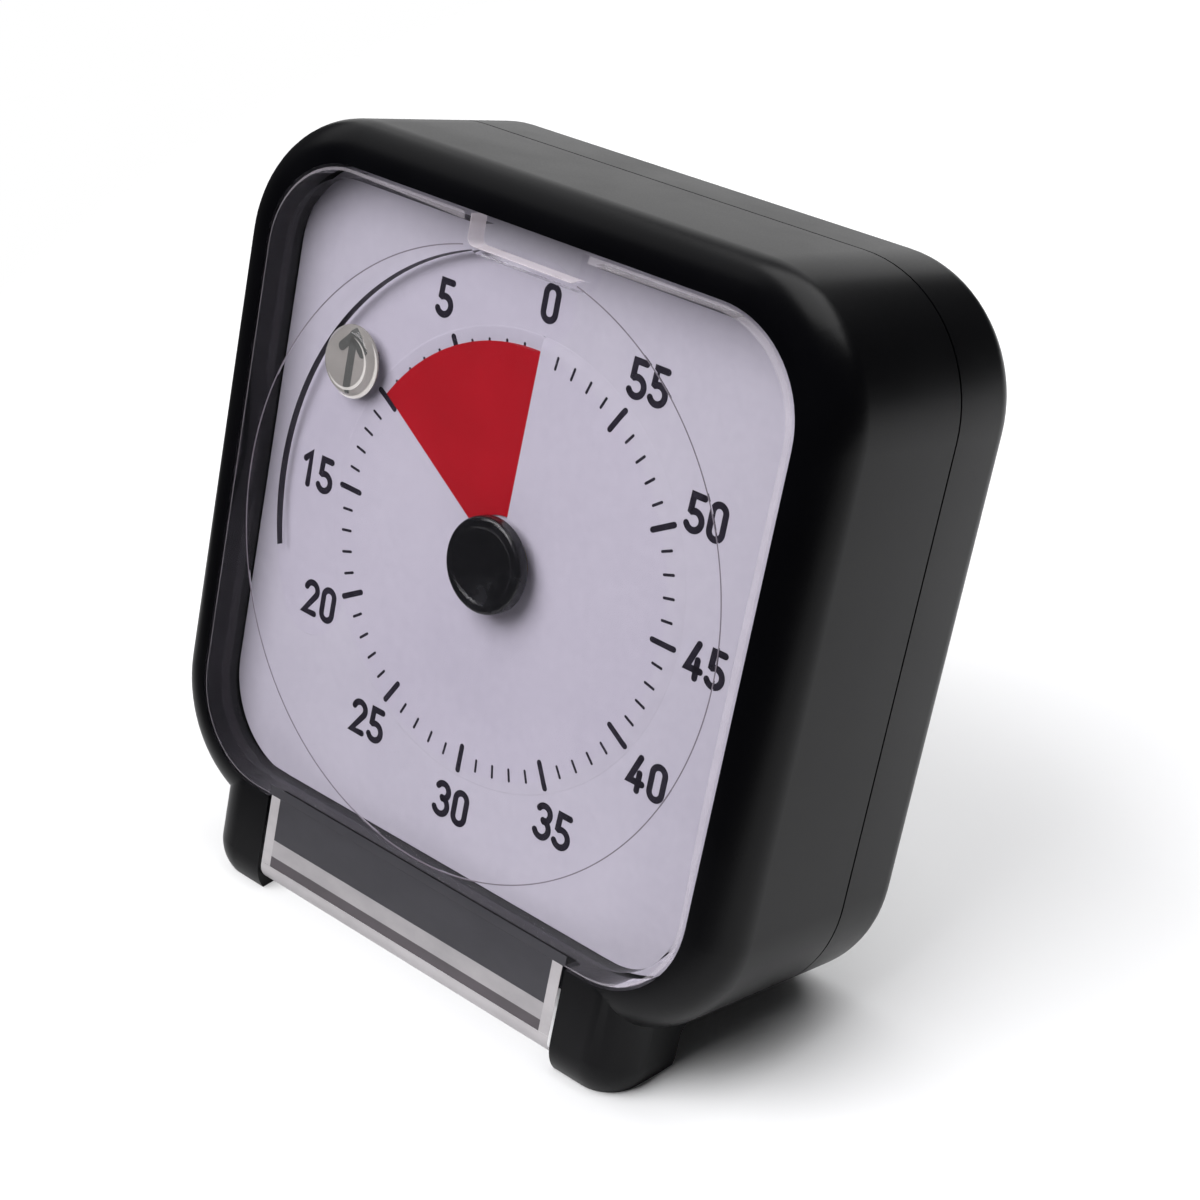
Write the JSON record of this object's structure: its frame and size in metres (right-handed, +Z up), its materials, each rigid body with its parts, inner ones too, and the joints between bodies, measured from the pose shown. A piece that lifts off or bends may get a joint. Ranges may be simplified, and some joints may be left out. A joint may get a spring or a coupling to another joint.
{
  "type": "visual countdown timer",
  "caption": "Square pocket countdown timer on two front feet: a red sheet shows the time left on a pale dial under a clear hinged cover.",
  "frame": {"origin": "centre of the timer's outline on the floor plane, under its feet", "axes": "+Z up, +Y towards the back, +X to the right of a person who reads the dial; the dial faces -Y and leans back 15.5 degrees"},
  "size_m": [0.0762, 0.0484, 0.0781],
  "materials": {
    "case_black": "fine matte, moulded",
    "dial_white": "satin, printed",
    "sheet_red": "thin matte sheet",
    "clear_plastic": "clear, polished",
    "hub_black": "semi-gloss",
    "movement_blue": "moulded",
    "movement_ivory": "moulded",
    "gear_white": "moulded",
    "brass": "machined",
    "steel": "plain",
    "spring_steel": "nickel plated",
    "board_green": "solder mask",
    "chip_black": "moulded",
    "cell_sleeve": "plain sleeve"
  },
  "bodies": {
    "case": {"front_shell": "case_black", "back_shell": "case_black", "dial_plate": "dial_white", "arbor_bush": "brass", "movement_plate": "movement_blue", "movement_case": "movement_ivory", "movement_screws": "steel", "stepper_motor": "steel", "circuit_board": "board_green", "control_chip": "chip_black", "quartz_crystal": "steel", "capacitor": "chip_black", "buzzer": "chip_black", "switch_body": "steel", "battery_cell": "cell_sleeve", "battery_spring": "spring_steel", "battery_contact": "spring_steel", "housing_screws": "steel"},
    "cover": {"clear_cover": "clear_plastic"},
    "disc": {"setting_disc": "clear_plastic", "setting_knob": "clear_plastic", "hub_cap": "hub_black", "disc_arbor": "brass", "centre_wheel": "brass", "clutch_spring": "spring_steel", "red_sheet": "sheet_red"},
    "third": {"third_wheel": "gear_white", "third_arbor": "steel"},
    "pinion": {"motor_pinion": "brass"},
    "door": {"battery_door": "case_black"},
    "slider": {"switch_slider": "chip_black"}
  },
  "joints": [
    {"name": "cover_hinge", "type": "hinge", "parent": "case", "child": "cover", "pos_m": [0, -0.02195, 0.00301], "axis": [1, 0, 0], "range_deg": [0, 270]},
    {"name": "disc_turn", "type": "hinge", "parent": "case", "child": "disc", "pos_m": [0, -0.00827, 0.04176], "axis": [0, -0.9636, 0.2672], "range_deg": [-60, 297], "deforming": ["red_sheet"]},
    {"name": "third_turn", "type": "hinge", "parent": "case", "child": "third", "pos_m": [-0.00757, -0.00008, 0.05071], "axis": [0, -0.9636, 0.2672], "range_deg": [-2970, 600]},
    {"name": "pinion_turn", "type": "hinge", "parent": "case", "child": "pinion", "pos_m": [0.0008, 0.00136, 0.04955], "axis": [0, -0.9636, 0.2672], "range_deg": [-3600, 17820]},
    {"name": "door_hinge", "type": "hinge", "parent": "case", "child": "door", "pos_m": [0, 0.00483, 0.00368], "axis": [-1, 0, 0], "range_deg": [0, 90]},
    {"name": "switch_slide", "type": "slide", "parent": "case", "child": "slider", "axis": [1, 0, 0], "range_m": [0, 0.003]}
  ],
  "couplings": [
    {"joint": "third_turn", "follows": "disc_turn", "ratio": -10},
    {"joint": "pinion_turn", "follows": "disc_turn", "ratio": 60}
  ]
}
